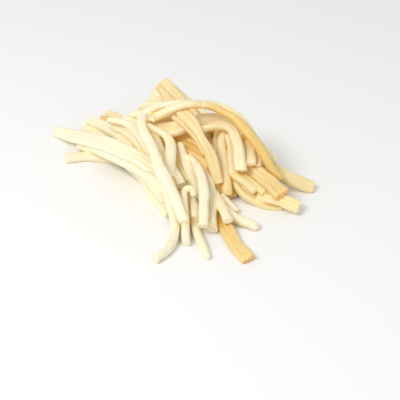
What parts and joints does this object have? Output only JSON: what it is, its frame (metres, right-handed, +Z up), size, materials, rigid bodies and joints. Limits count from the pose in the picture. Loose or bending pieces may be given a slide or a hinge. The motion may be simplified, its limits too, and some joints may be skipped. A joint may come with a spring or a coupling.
{
  "type": "string cheese",
  "caption": "Loose heap of soft string cheese: pale unsmoked and light tan smoked strings and flat ribbons piled on each other, with cut ends pointing out.",
  "frame": {"origin": "middle of the heap's box, on the surface that it lies on", "axes": "+X to the right and +Y to the back as the heap is seen from its front, +Z up"},
  "size_m": [0.1964, 0.1815, 0.0551],
  "materials": {
    "fresh_cheese": "soft moist cheese, pale cream, with a low gloss"
  },
  "bodies": {
    "root": {"string_cheese_heap": "fresh_cheese"}
  },
  "joints": []
}
